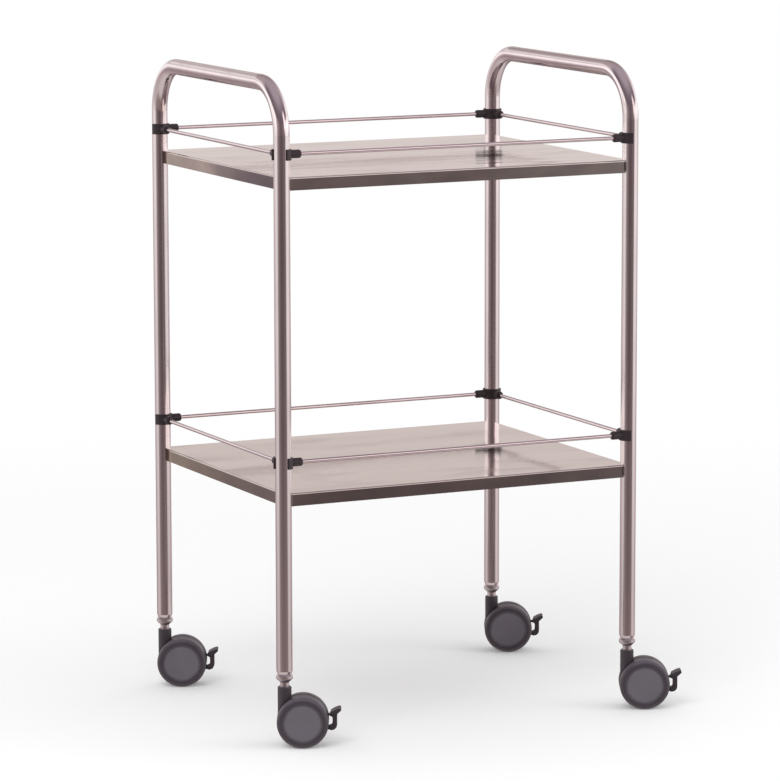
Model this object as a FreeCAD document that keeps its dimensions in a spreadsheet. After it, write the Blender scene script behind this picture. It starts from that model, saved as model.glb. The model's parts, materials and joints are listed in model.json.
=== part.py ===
import FreeCAD, Part
import math
import os
import Sketcher
from FreeCAD import Placement, Rotation, Vector

# Medical trolley. Two side frames, each one bent tube whose top bar is the push handle, carry
# two folded trays, whose corners are cut out round the legs. Guard rails stand round each tray
# in black corner clips, and the legs end in four braked twin-wheel castors.
#
# Millimetres, +Z up. The origin is on the floor, midway between the four legs. +X runs along
# the trays and +Y points away from the front.

SIZES = {
    # Side frames
    "leg_spacing_long": 600.0,
    "leg_spacing_deep": 475.0,
    "tube_diameter": 25.0,
    "tube_wall": 1.5,
    "handle_height": 1017.5,
    "handle_bend": 75.0,
    "leg_end_height": 113.5,
    "leg_end_roll": 4.5,
    "leg_end_diameter": 21.6,
    # Trays
    "upper_shelf_height": 878.5,
    "lower_shelf_height": 394.0,
    "shelf_overhang": 5.0,
    "shelf_edge": 20.0,
    "shelf_gauge": 1.2,
    "shelf_fold": 2.5,
    "shelf_hem": 14.0,
    "notch_fit": 0.1,
    "stiffener_length": 500.0,
    "stiffener_crown": 60.0,
    "stiffener_depth": 12.0,
    "stiffener_flange": 14.0,
    "stiffener_gauge": 1.2,
    "stiffener_bend": 1.8,
    "weld_radius": 2.2,
    "weld_margin": 2.5,
    # Guard rails
    "rail_diameter": 6.0,
    "rail_engagement": 16.0,
    "rail_end_chamfer": 0.6,
    "upper_rail_height": 913.5,
    "lower_rail_height": 441.5,
    # Corner clips
    "clip_wall": 2.6,
    "clip_band": 16.5,
    "clip_opening": 110.0,
    "clip_mouth_heading": 225.0,
    "clip_lip_round": 0.8,
    "clip_fit": 0.05,
    "socket_diameter": 13.0,
    "socket_reach": 31.3,
    "socket_round": 2.8,
    "socket_rise": 0.2,
    "socket_root": 13.2,
    "rail_fit": 0.05,
    "rail_end_play": 0.3,
    # Castor stem and washer
    "plug_length": 30.0,
    "plug_fit": 0.1,
    "plug_lead": 1.5,
    "bead_diameter": 26.0,
    "bead_gap": 0.1,
    "bead_shoulder": 3.4,
    "bead_band": 4.0,
    "bead_top_round": 1.0,
    "bead_foot_round": 2.0,
    "cone_height": 5.8,
    "stem_shoulder_diameter": 14.0,
    "stem_pin_diameter": 10.0,
    "stem_pin_length": 34.0,
    "stem_pin_fit": 0.05,
    "snap_groove_depth": 0.8,
    "snap_groove_width": 2.0,
    "washer_diameter": 15.2,
    "washer_thickness": 1.2,
    "washer_gap": 0.05,
    # Castor housing
    "castor_heading": -25.8,
    "castor_trail": 28.0,
    "neck_top": 93.6,
    "neck_diameter": 21.4,
    "neck_round": 1.8,
    "neck_foot": 6.0,
    "housing_width": 12.0,
    "hood_step": 0.6,
    "hood_floor": 17.0,
    "hood_front": 27.5,
    "hood_lip": 6.0,
    "wheel_clearance": 1.0,
    # Wheels, caps and axle
    "wheel_diameter": 80.0,
    "wheel_width": 19.0,
    "wheel_shoulder": 7.6,
    "wheel_outer_round": 7.4,
    "wheel_inner_round": 0.8,
    "rim_thickness": 4.0,
    "wheel_wall": 2.5,
    "cap_seat_depth": 4.4,
    "cap_seat_diameter": 62.8,
    "wheel_dish": 0.4,
    "hub_diameter": 18.0,
    "hub_play": 0.3,
    "rib_count": 8,
    "rib_thickness": 1.8,
    "rib_depth": 3.0,
    "cap_fit": 0.2,
    "cap_thickness": 1.2,
    "cap_sink": 1.3,
    "cap_flat_diameter": 53.5,
    "cap_blend": 2.0,
    "cap_rim": 1.5,
    "axle_diameter": 8.0,
    "axle_fit": 0.05,
    "axle_head_diameter": 12.4,
    "axle_head_thickness": 1.0,
    "axle_head_play": 0.1,
    # Brake pedal, with places counted from the axle
    "brake_pivot_out": 24.0,
    "brake_pivot_down": 11.0,
    "brake_pin_diameter": 4.0,
    "brake_pin_fit": 0.05,
    "brake_lug_diameter": 12.0,
    "brake_eye_diameter": 10.0,
    "brake_arm_width": 6.0,
    "brake_slot_fit": 0.2,
    "brake_slot_depth": 11.0,
    "pedal_bar_width": 14.0,
    "pedal_pad_width": 22.0,
    "shoe_diameter": 4.4,
    "shoe_out": 31.0,
    "shoe_up": 3.0,
    "shoe_length": 28.0,
    "finger_root": 7.0,
    "finger_tip": 3.0,
    "pedal_bar_inner": 45.6,
    "pedal_bar_thickness": 7.0,
    "pedal_arm_bottom": 14.2,
    "pedal_arm_thickness": 6.6,
    "pedal_bar_top": 11.5,
    "pedal_start": 41.6,
    "pedal_round": 8.5,
    "pedal_inner_round": 3.6,
    "pedal_neck_round": 4.0,
    "pedal_overlap": 2.0,
    "pad_inset": 1.0,
    "pad_heel_out": 43.2,
    "pad_heel_up": 14.9,
    "pad_crest_out": 50.5,
    "pad_crest_up": 18.9,
    "pad_crest_round": 18.0,
    "pad_toe_out": 57.4,
    "pad_toe_up": 21.2,
    "pad_tip_out": 59.6,
    "pad_tip_up": 17.9,
    "pad_edge_round": 1.8,
    "nose_gap": 0.4,
    "nose_up": 7.9,
    "nose_thickness": 3.1,
}

FOLDER = "parts"
SIDES = {"left": -1, "right": 1}
ENDS = {"front": -1, "back": 1}
LEVELS = ("upper", "lower")
WHEELS = {"near": -1, "far": 1}

# Lengths this close count as the same, and a cut takes away at least this volume
SAME_LENGTH = 0.01
LEAST_CUT = 0.1
# A shape that only cuts reaches this many times past what it cuts
BEYOND = 2

doc = FreeCAD.newDocument("MedicalTrolley")
nodes = []


class Size:
    """A length, an angle or a count, together with the sheet formula that gives it."""

    def __init__(self, value, formula):
        self.value = value
        self.formula = formula

    def combine(self, other, sign, work):
        other = as_size(other)
        formula = f"({self.formula} {sign} {other.formula})"
        return Size(work(self.value, other.value), formula)

    def __add__(self, other):
        return self.combine(other, "+", lambda a, b: a + b)

    def __sub__(self, other):
        return self.combine(other, "-", lambda a, b: a - b)

    def __mul__(self, other):
        return self.combine(other, "*", lambda a, b: a * b)

    def __truediv__(self, other):
        return self.combine(other, "/", lambda a, b: a / b)

    def __radd__(self, other):
        return as_size(other) + self

    def __rsub__(self, other):
        return as_size(other) - self

    def __rmul__(self, other):
        return as_size(other) * self

    def __neg__(self):
        return self * -1


def as_size(number):
    """A plain number as a Size, so that both can be mixed in one formula."""
    if isinstance(number, Size):
        return number
    return Size(float(number), f"({float(number)})")


def cosine(angle):
    return Size(math.cos(math.radians(angle.value)), f"cos({angle.formula} * 1 deg)")


def sine(angle):
    return Size(math.sin(math.radians(angle.value)), f"sin({angle.formula} * 1 deg)")


def root(number):
    return Size(math.sqrt(number.value), f"sqrt({number.formula})")


class Sheet:
    """The spreadsheet of driving dimensions; each one is an attribute that holds a Size."""

    def __init__(self, sizes):
        self.table = doc.addObject("Spreadsheet::Sheet", "Sizes")
        for row, (name, value) in enumerate(sizes.items(), start=1):
            self.table.set(f"A{row}", name)
            self.table.set(f"B{row}", str(value))
            self.table.setAlias(f"B{row}", name)
            setattr(self, name, Size(float(value), f"Sizes.{name}"))


d = Sheet(SIZES)
doc.recompute()

# Sizes that several pieces share
half_long = d.leg_spacing_long / 2
half_deep = d.leg_spacing_deep / 2
tube_radius = d.tube_diameter / 2
tube_bore = d.tube_diameter - d.tube_wall * 2
shelf_length = d.leg_spacing_long
shelf_depth = d.leg_spacing_deep + d.shelf_overhang * 2
wheel_radius = d.wheel_diameter / 2
half_housing = d.housing_width / 2
hood_radius = wheel_radius - d.hood_step
wheel_inside = half_housing + d.wheel_clearance
wheel_outside = wheel_inside + d.wheel_width
cap_seat = wheel_outside - d.cap_seat_depth
drum_radius = wheel_radius - d.rim_thickness
pin_tip = d.neck_top + d.washer_thickness + d.washer_gap * 2 - d.stem_pin_length
rail_end = d.socket_reach - d.rail_engagement
shelf_heights = {"upper": d.upper_shelf_height, "lower": d.lower_shelf_height}
rail_heights = {"upper": d.upper_rail_height, "lower": d.lower_rail_height}


def bind(thing, path, size):
    """Set a property and tie it to the sheet."""
    thing.setExpression(path, as_size(size).formula)


def new_body(label, x=0, y=0, z=0, turn=None):
    """An empty body for one sub-part, placed in the trolley's frame."""
    body = doc.addObject("PartDesign::Body", label)
    body.Label = label
    if turn is not None:
        angle = as_size(turn)
        body.Placement = Placement(Vector(), Rotation(Vector(0, 0, 1), angle.value))
        bind(body, "Placement.Rotation.Angle", angle)
    for axis, place in (("x", x), ("y", y), ("z", z)):
        bind(body, f"Placement.Base.{axis}", place)
    nodes.append(body)
    return body


def new_sketch(body, plane, name, right=0, up=0, out=0):
    """A sketch on one of the body's own origin planes, its origin moved as asked."""
    sketch = body.newObject("Sketcher::SketchObject", name)
    face = [f for f in body.Origin.OriginFeatures if f.Role == f"{plane}_Plane"][0]
    sketch.AttachmentSupport = [(face, "")]
    sketch.MapMode = "FlatFace"
    for axis, place in (("x", right), ("y", up), ("z", out)):
        bind(sketch, f"AttachmentOffset.Base.{axis}", place)
    return sketch


def measure(sketch, size, kind, *where):
    """A dimension on a sketch, tied to the sheet."""
    size = as_size(size)
    number = sketch.addConstraint(Sketcher.Constraint(kind, *where, size.value))
    sketch.setExpression(f"Constraints[{number}]", size.formula)


def fix_point(sketch, line, end, x, y):
    measure(sketch, x, "DistanceX", -1, 1, line, end)
    measure(sketch, y, "DistanceY", -1, 1, line, end)


def draw_circle(sketch, x, y, diameter):
    x, y, diameter = as_size(x), as_size(y), as_size(diameter)
    middle = Vector(x.value, y.value)
    ring = sketch.addGeometry(Part.Circle(middle, Vector(0, 0, 1), diameter.value / 2), False)
    fix_point(sketch, ring, 3, x, y)
    measure(sketch, diameter, "Diameter", ring)


def rounded_corner(before, corner, after, radius):
    """The arc that rounds a corner, where it meets both lines, and which way it turns."""
    back = (before - corner).normalize()
    on = (after - corner).normalize()
    half = back.getAngle(on) / 2
    touch_in = corner + back * (radius / math.tan(half))
    touch_out = corner + on * (radius / math.tan(half))
    middle = corner + (back + on).normalize() * (radius / math.sin(half))
    left_turn = on.cross(back).z > 0
    first, last = (touch_in, touch_out) if left_turn else (touch_out, touch_in)
    start = math.atan2(first.y - middle.y, first.x - middle.x)
    stop = math.atan2(last.y - middle.y, last.x - middle.x)
    if stop < start:
        stop += 2 * math.pi
    arc = Part.ArcOfCircle(Part.Circle(middle, Vector(0, 0, 1), radius), start, stop)
    return arc, touch_in, touch_out, left_turn


def draw_outline(sketch, corners):
    """A closed outline. A corner is (x, y) or, where it is rounded, (x, y, radius)."""
    corners = [tuple(as_size(value) for value in corner) for corner in corners]
    spots = [Vector(corner[0].value, corner[1].value) for corner in corners]
    count = len(corners)
    arrive, leave, rounds = list(spots), list(spots), {}
    for i, corner in enumerate(corners):
        if len(corner) == 3:
            ring = rounded_corner(spots[i - 1], spots[i], spots[(i + 1) % count], corner[2].value)
            rounds[i], arrive[i], leave[i] = (ring[0], ring[3]), ring[1], ring[2]
    lines = [
        sketch.addGeometry(Part.LineSegment(leave[i], arrive[(i + 1) % count]), False)
        for i in range(count)
    ]
    for i, corner in enumerate(corners):
        came, goes = lines[i - 1], lines[i]
        if i not in rounds:
            sketch.addConstraint(Sketcher.Constraint("Coincident", came, 2, goes, 1))
            fix_point(sketch, goes, 1, corner[0], corner[1])
            continue
        arc = sketch.addGeometry(rounds[i][0], False)
        enter, exit_ = (1, 2) if rounds[i][1] else (2, 1)
        spot = sketch.addGeometry(Part.Point(spots[i]), True)
        fix_point(sketch, spot, 1, corner[0], corner[1])
        sketch.addConstraint(Sketcher.Constraint("Tangent", came, 2, arc, enter))
        sketch.addConstraint(Sketcher.Constraint("Tangent", goes, 1, arc, exit_))
        sketch.addConstraint(Sketcher.Constraint("PointOnObject", spot, 1, came))
        sketch.addConstraint(Sketcher.Constraint("PointOnObject", spot, 1, goes))
        measure(sketch, corner[2], "Radius", arc)


def draw_rectangle(sketch, left, right, bottom, top):
    draw_outline(sketch, [(left, bottom), (right, bottom), (right, top), (left, top)])


def extrude(body, kind, name, sketch, length, both_ways=False, reverse=False):
    feature = body.newObject(f"PartDesign::{kind}", name)
    feature.Profile = sketch
    bind(feature, "Length", length)
    feature.SideType = "Symmetric" if both_ways else "One side"
    feature.Reversed = reverse
    return feature


def pad(body, name, sketch, length, both_ways=False, reverse=False):
    return extrude(body, "Pad", name, sketch, length, both_ways, reverse)


def pocket(body, name, sketch, length, both_ways=False, reverse=False):
    return extrude(body, "Pocket", name, sketch, length, both_ways, reverse)


def turned(body, name, sketch, axis):
    """A full turn of the sketch about its own H_Axis or V_Axis."""
    feature = body.newObject("PartDesign::Revolution", name)
    feature.Profile = sketch
    feature.ReferenceAxis = (sketch, [axis])
    feature.Angle = 360
    return feature


def edges_where(feature, test):
    """Names of the feature's edges whose middle point and bounds pass the test."""
    named = enumerate(feature.Shape.Edges, start=1)
    return [f"Edge{number}" for number, edge in named if test(edge.CenterOfMass, edge.BoundBox)]


def dress(body, kind, name, size_name, size, test):
    """A fillet or a chamfer on the edges of the body's last feature that pass the test."""
    doc.recompute()
    base = body.Tip
    feature = body.newObject(f"PartDesign::{kind}", name)
    feature.Base = (base, edges_where(base, test))
    bind(feature, size_name, size)
    return feature


def fillet(body, name, radius, test):
    return dress(body, "Fillet", name, "Radius", radius, test)


def near(a, b):
    """Whether two lengths agree."""
    b = b.value if isinstance(b, Size) else b
    return abs(a - b) < SAME_LENGTH


def side_frame(side):
    """One bent tube: two legs and the handle bar, with its lower ends rolled in."""
    body = new_body(f"side_frame_{side}", x=half_long * SIDES[side])
    roll_top = d.leg_end_height + d.leg_end_roll
    path = new_sketch(body, "YZ", "Path")
    bend, reach, top = d.handle_bend.value, half_deep.value, d.handle_height.value
    up = Vector(0, 0, 1)
    legs = [
        path.addGeometry(
            Part.LineSegment(Vector(y, roll_top.value), Vector(y, top - bend)), False
        )
        for y in (-reach, reach)
    ]
    front_bend = Part.ArcOfCircle(
        Part.Circle(Vector(bend - reach, top - bend), up, bend), math.pi / 2, math.pi
    )
    back_bend = Part.ArcOfCircle(
        Part.Circle(Vector(reach - bend, top - bend), up, bend), 0, math.pi / 2
    )
    bends = [path.addGeometry(arc, False) for arc in (front_bend, back_bend)]
    bar = Part.LineSegment(Vector(bend - reach, top), Vector(reach - bend, top))
    bar = path.addGeometry(bar, False)
    fix_point(path, legs[0], 1, -half_deep, roll_top)
    fix_point(path, legs[1], 1, half_deep, roll_top)
    path.addConstraint(Sketcher.Constraint("Vertical", legs[0]))
    path.addConstraint(Sketcher.Constraint("Vertical", legs[1]))
    path.addConstraint(Sketcher.Constraint("Horizontal", bar))
    path.addConstraint(Sketcher.Constraint("Tangent", legs[0], 2, bends[0], 2))
    path.addConstraint(Sketcher.Constraint("Tangent", bends[0], 1, bar, 1))
    path.addConstraint(Sketcher.Constraint("Tangent", bar, 2, bends[1], 2))
    path.addConstraint(Sketcher.Constraint("Tangent", bends[1], 1, legs[1], 2))
    measure(path, d.handle_bend, "Radius", bends[0])
    measure(path, d.handle_bend, "Radius", bends[1])
    measure(path, d.handle_height, "DistanceY", -1, 1, bar, 1)

    section = new_sketch(body, "XY", "Section", out=roll_top)
    draw_circle(section, 0, -half_deep, d.tube_diameter)
    draw_circle(section, 0, -half_deep, tube_bore)
    tube = body.newObject("PartDesign::AdditivePipe", "Tube")
    tube.Profile = section
    tube.Spine = (path, [])

    end_radius = d.leg_end_diameter / 2
    for end, sign in ENDS.items():
        wall = new_sketch(body, "XZ", f"RolledWall_{end}", out=half_deep * -sign)
        draw_outline(
            wall,
            [
                (tube_radius - d.tube_wall, roll_top),
                (end_radius - d.tube_wall, d.leg_end_height),
                (end_radius, d.leg_end_height),
                (tube_radius, roll_top),
            ],
        )
        turned(body, f"RolledEnd_{end}", wall, "V_Axis")


def tray(level):
    """A sheet tray: flat top, edges folded down, a hem below and corners cut out for the legs."""
    body = new_body(f"{level}_shelf", z=shelf_heights[level])
    x, y = shelf_length / 2, shelf_depth / 2
    gauge = d.shelf_gauge.value
    top = new_sketch(body, "XY", "Plan")
    draw_rectangle(top, -x, x, -y, y)
    pad(body, "Blank", top, d.shelf_edge, reverse=True)
    hollow = new_sketch(body, "XY", "HollowPlan", out=-d.shelf_edge)
    inner_x, inner_y = x - d.shelf_gauge, y - d.shelf_gauge
    draw_rectangle(hollow, -inner_x, inner_x, -inner_y, inner_y)
    pocket(body, "Hollow", hollow, d.shelf_edge - d.shelf_gauge, reverse=True)

    def on_top(middle, box):
        outside = near(abs(middle.x), x) or near(abs(middle.y), y)
        return outside and near(box.ZMax, 0) and near(box.ZMin, 0)

    fillet(body, "OuterFold", d.shelf_fold, on_top)

    def under_top(middle, box):
        inside = near(abs(middle.x), inner_x) or near(abs(middle.y), inner_y)
        return inside and near(box.ZMax, -gauge) and near(box.ZMin, -gauge)

    fillet(body, "InnerFold", d.shelf_fold - d.shelf_gauge, under_top)
    hem = new_sketch(body, "XY", "HemPlan", out=-d.shelf_edge)
    edge = d.shelf_gauge / 2
    draw_rectangle(hem, edge - x, x - edge, edge - y, y - edge)
    draw_rectangle(hem, d.shelf_hem - x, x - d.shelf_hem, d.shelf_hem - y, y - d.shelf_hem)
    pad(body, "Hem", hem, d.shelf_gauge)
    notch = new_sketch(body, "XY", "NotchPlan")
    for sx in SIDES.values():
        for sy in ENDS.values():
            draw_circle(notch, half_long * sx, half_deep * sy, d.tube_diameter + d.notch_fit * 2)
    pocket(body, "LegNotches", notch, d.shelf_edge * BEYOND, both_ways=True)


def stiffener(level):
    """A hat channel spot-welded under the middle of a tray."""
    body = new_body(f"{level}_shelf_stiffener", z=shelf_heights[level] - d.shelf_gauge)
    crown, gauge, depth = d.stiffener_crown / 2, d.stiffener_gauge, d.stiffener_depth
    brim = crown + d.stiffener_flange
    bend = d.stiffener_bend
    hat = new_sketch(body, "YZ", "HatSection")
    draw_outline(
        hat,
        [
            (-brim, 0),
            (gauge - crown, 0),
            (gauge - crown, gauge - depth),
            (crown - gauge, gauge - depth),
            (crown - gauge, 0),
            (brim, 0),
            (brim, -gauge),
            (crown, -gauge),
            (crown, -depth, bend),
            (-crown, -depth, bend),
            (-crown, -gauge),
            (-brim, -gauge),
        ],
    )
    pad(body, "Hat", hat, d.stiffener_length, both_ways=True)


def weld_beads():
    """Upright beads where the cut ends of a tray's folded edges meet a leg."""
    length = d.shelf_edge - d.weld_margin * 2
    inset = root(tube_radius * tube_radius - d.shelf_overhang * d.shelf_overhang)
    on_front = (half_long - inset, shelf_depth / 2)
    on_side = (shelf_length / 2, half_deep - tube_radius)
    beads, legs, blocks = [], [], []
    for level, height in shelf_heights.items():
        block = doc.addObject("Part::Box", f"{level}_tray_block")
        bind(block, "Length", shelf_length)
        bind(block, "Width", shelf_depth)
        bind(block, "Height", d.shelf_edge)
        bind(block, "Placement.Base.x", shelf_length / -2)
        bind(block, "Placement.Base.y", shelf_depth / -2)
        bind(block, "Placement.Base.z", height - d.shelf_edge)
        blocks.append(block)
    for side, sx in SIDES.items():
        for end, sy in ENDS.items():
            leg = doc.addObject("Part::Cylinder", f"{end}_{side}_leg_block")
            bind(leg, "Radius", tube_radius)
            bind(leg, "Height", d.handle_height)
            bind(leg, "Placement.Base.x", half_long * sx)
            bind(leg, "Placement.Base.y", half_deep * sy)
            legs.append(leg)
            for level, height in shelf_heights.items():
                for x, y in (on_front, on_side):
                    bead = doc.addObject("Part::Cylinder", f"{level}_{end}_{side}_bead")
                    bind(bead, "Radius", d.weld_radius)
                    bind(bead, "Height", length)
                    bind(bead, "Placement.Base.x", x * sx)
                    bind(bead, "Placement.Base.y", y * sy)
                    bind(bead, "Placement.Base.z", height - d.shelf_edge + d.weld_margin)
                    beads.append(bead)
    welds = doc.addObject("Part::Compound", "bead_rods")
    welds.Links = beads
    for name, solids in (("bead_leg_seats", legs), ("bead_tray_seats", blocks)):
        tools = doc.addObject("Part::Compound", name)
        tools.Links = solids
        cut = doc.addObject("Part::Cut", f"{name}_cut")
        cut.Base = welds
        cut.Tool = tools
        welds = cut
    welds.Label = "shelf_welds"
    nodes.append(welds)


def rail(level, place):
    """A straight rod between two clips, its ends chamfered to enter the sockets."""
    z = rail_heights[level]
    if place in ENDS:
        body = new_body(f"{level}_{place}_rail", y=half_deep * ENDS[place], z=z)
        plane, span = "YZ", d.leg_spacing_long
    else:
        body = new_body(f"{level}_{place}_rail", x=half_long * SIDES[place], z=z)
        plane, span = "XZ", d.leg_spacing_deep
    section = new_sketch(body, plane, "Section")
    draw_circle(section, 0, 0, d.rail_diameter)
    pad(body, "Rod", section, span - rail_end * 2, both_ways=True)
    dress(body, "Chamfer", "EndChamfer", "Size", d.rail_end_chamfer, lambda *_: True)


def corner_clip(level, end, side):
    """A snap-on clip. It grips the leg from the inside and holds the ends of two rails."""
    quarter = {(-1, -1): 0, (1, -1): 90, (1, 1): 180, (-1, 1): 270}
    sx, sy = SIDES[side], ENDS[end]
    body = new_body(
        f"{level}_clip_{end}_{side}",
        x=half_long * sx,
        y=half_deep * sy,
        z=rail_heights[level],
        turn=quarter[sx, sy],
    )
    bore = tube_radius + d.clip_fit
    ring = new_sketch(body, "XY", "Ring", out=-d.socket_rise)
    draw_circle(ring, 0, 0, (bore + d.clip_wall) * 2)
    draw_circle(ring, 0, 0, bore * 2)
    pad(body, "Band", ring, d.clip_band, both_ways=True)
    # The mouth is a wedge about the diagonal that points out of the trolley
    far = (bore + d.clip_wall) * BEYOND * 2
    diagonal = d.clip_mouth_heading
    low, high = diagonal - d.clip_opening / 2, diagonal + d.clip_opening / 2
    mouth = new_sketch(body, "XY", "Mouth", out=-d.socket_rise)
    draw_outline(
        mouth,
        [
            (0, 0),
            (far * cosine(low), far * sine(low)),
            (far * cosine(diagonal), far * sine(diagonal)),
            (far * cosine(high), far * sine(high)),
        ],
    )
    pocket(body, "SnapMouth", mouth, d.clip_band * BEYOND, both_ways=True)

    def lip(middle, box):
        at_mouth = middle.x < -SAME_LENGTH or middle.y < -SAME_LENGTH
        return at_mouth and near(box.ZLength, d.clip_band)

    fillet(body, "LipRound", d.clip_lip_round, lip)
    # Two sockets at a right angle, one along the tray and one across it
    length = d.socket_reach - d.socket_root
    for plane, away, back in (("YZ", 1, False), ("XZ", -1, True)):
        root_face = new_sketch(body, plane, f"SocketRoot_{plane}", out=d.socket_root * away)
        draw_circle(root_face, 0, 0, d.socket_diameter)
        pad(body, f"Socket_{plane}", root_face, length, reverse=back)

    def socket_rim(middle, box):
        return near(middle.x, d.socket_reach) or near(middle.y, d.socket_reach)

    fillet(body, "SocketRound", d.socket_round, socket_rim)
    for plane, away, back in (("YZ", 1, False), ("XZ", -1, True)):
        mouth_face = new_sketch(body, plane, f"RailBore_{plane}", out=d.socket_reach * away)
        draw_circle(mouth_face, 0, 0, d.rail_diameter + d.rail_fit * 2)
        pocket(body, f"RailHole_{plane}", mouth_face, d.rail_engagement + d.rail_end_play,
               reverse=back)


def castor_body(name, end, side):
    """A body in a castor's own frame: stem axis on Z, wheels trailing along X."""
    x, y = half_long * SIDES[side], half_deep * ENDS[end]
    return new_body(f"castor_{end}_{side}_{name}", x, y, turn=d.castor_heading)


def stem(end, side):
    """Turned steel: plug inside the leg, bead under its end, cone, shoulder and pin."""
    body = castor_body("stem", end, side)
    plug = tube_bore / 2 - d.plug_fit
    waist = d.leg_end_diameter / 2 - d.tube_wall - d.plug_fit
    roll_top = d.leg_end_height + d.leg_end_roll
    plug_top = roll_top + d.plug_length
    bead_top = d.leg_end_height - d.bead_gap
    band_top = bead_top - d.bead_shoulder
    cone_top = band_top - d.bead_band
    shoulder_top = cone_top - d.cone_height
    shoulder = d.neck_top + d.washer_thickness + d.washer_gap * 2
    pin = d.stem_pin_diameter / 2
    groove = pin - d.snap_groove_depth
    groove_low = pin_tip + d.snap_groove_width
    groove_high = groove_low + d.snap_groove_width
    profile = new_sketch(body, "XZ", "Profile")
    draw_outline(
        profile,
        [
            (0, pin_tip),
            (pin - d.snap_groove_depth, pin_tip),
            (pin, pin_tip + d.snap_groove_depth),
            (pin, groove_low),
            (groove, groove_low),
            (groove, groove_high),
            (pin, groove_high),
            (pin, shoulder),
            (d.stem_shoulder_diameter / 2, shoulder),
            (d.stem_shoulder_diameter / 2, shoulder_top),
            (d.bead_diameter / 2, cone_top, d.bead_foot_round),
            (d.bead_diameter / 2, band_top, d.bead_top_round),
            (d.leg_end_diameter / 2, bead_top),
            (waist, bead_top),
            (waist, roll_top),
            (plug, roll_top + d.plug_lead),
            (plug, plug_top - d.plug_lead),
            (plug - d.plug_lead, plug_top),
            (0, plug_top),
        ],
    )
    turned(body, "Turned", profile, "V_Axis")


def washer(end, side):
    """The thrust washer between the stem's shoulder and the neck."""
    ring = doc.addObject("Part::Cylinder", f"washer_{end}_{side}_disc")
    hole = doc.addObject("Part::Cylinder", f"washer_{end}_{side}_hole")
    bind(ring, "Radius", d.washer_diameter / 2)
    bind(hole, "Radius", d.stem_pin_diameter / 2 + d.stem_pin_fit)
    for disc in (ring, hole):
        bind(disc, "Height", d.washer_thickness)
        bind(disc, "Placement.Base.x", half_long * SIDES[side])
        bind(disc, "Placement.Base.y", half_deep * ENDS[end])
        bind(disc, "Placement.Base.z", d.neck_top + d.washer_gap)
    cut = doc.addObject("Part::Cut", f"washer_{end}_{side}")
    cut.Base = ring
    cut.Tool = hole
    return cut


def housing(end, side):
    """Moulded in one: the neck, and the hood plate between the wheels that holds the axle."""
    body = castor_body("housing", end, side)
    at_axle = {"right": d.castor_trail, "up": wheel_radius}
    far = d.wheel_diameter
    web = new_sketch(body, "XZ", "HoodCircle", **at_axle)
    draw_circle(web, 0, 0, hood_radius * 2)
    pad(body, "Hood", web, d.housing_width, both_ways=True)
    below = new_sketch(body, "XZ", "BelowHood", **at_axle)
    draw_rectangle(below, -far, far, -far, -d.hood_floor)
    pocket(body, "HoodFloor", below, far, both_ways=True)
    front = new_sketch(body, "XZ", "PedalRoom", **at_axle)
    draw_rectangle(front, d.hood_front, far, -far, d.hood_lip)
    pocket(body, "PedalSpace", front, far, both_ways=True)
    lug = new_sketch(body, "XZ", "LugCircle", **at_axle)
    draw_circle(lug, d.brake_pivot_out, -d.brake_pivot_down, d.brake_lug_diameter)
    pad(body, "PivotLug", lug, d.housing_width, both_ways=True)

    neck_foot = wheel_radius + d.neck_foot
    column = new_sketch(body, "XY", "NeckCircle", out=neck_foot)
    draw_circle(column, 0, 0, d.neck_diameter)
    pad(body, "Neck", column, d.neck_top - neck_foot)
    fillet(
        body,
        "NeckRound",
        d.neck_round,
        lambda middle, box: near(box.ZMin, d.neck_top) and near(box.XLength, d.neck_diameter),
    )
    # Room for both wheels, cut out of the neck each side of the plate
    for wheel, sign in WHEELS.items():
        room = new_sketch(body, "XZ", f"WheelRoom_{wheel}", out=half_housing * -sign, **at_axle)
        draw_circle(room, 0, 0, (wheel_radius + d.wheel_clearance) * 2)
        pocket(body, f"WheelSpace_{wheel}", room, d.neck_diameter, reverse=sign < 0)

    bore = new_sketch(body, "XY", "StemBore", out=d.neck_top)
    draw_circle(bore, 0, 0, d.stem_pin_diameter + d.stem_pin_fit * 2)
    pocket(body, "StemHole", bore, d.neck_top - pin_tip + d.snap_groove_width)
    axle_hole = new_sketch(body, "XZ", "AxleBore", **at_axle)
    draw_circle(axle_hole, 0, 0, d.axle_diameter)
    pocket(body, "AxleHole", axle_hole, far, both_ways=True)
    slot = new_sketch(body, "XZ", "PedalSlot", **at_axle)
    slot_left = d.brake_pivot_out - d.brake_slot_depth
    draw_rectangle(slot, slot_left, far, -far, d.hood_lip)
    pocket(body, "PedalSlotCut", slot, d.brake_arm_width + d.brake_slot_fit * 2, both_ways=True)
    pin_hole = new_sketch(body, "XZ", "PinBore", **at_axle)
    draw_circle(pin_hole, d.brake_pivot_out, -d.brake_pivot_down, d.brake_pin_diameter)
    pocket(body, "PinHole", pin_hole, far, both_ways=True)


def axle(end, side):
    """A steel axle, riveted over outside both hubs."""
    body = castor_body("axle", end, side)
    head_start = cap_seat + d.axle_head_play
    head_end = head_start + d.axle_head_thickness
    shank, head = d.axle_diameter / 2, d.axle_head_diameter / 2
    profile = new_sketch(body, "YZ", "Profile", up=wheel_radius, out=d.castor_trail)
    draw_outline(
        profile,
        [
            (-head_end, 0),
            (head_end, 0),
            (head_end, head),
            (head_start, head),
            (head_start, shank),
            (-head_start, shank),
            (-head_start, head),
            (-head_end, head),
        ],
    )
    turned(body, "Turned", profile, "H_Axis")


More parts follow.
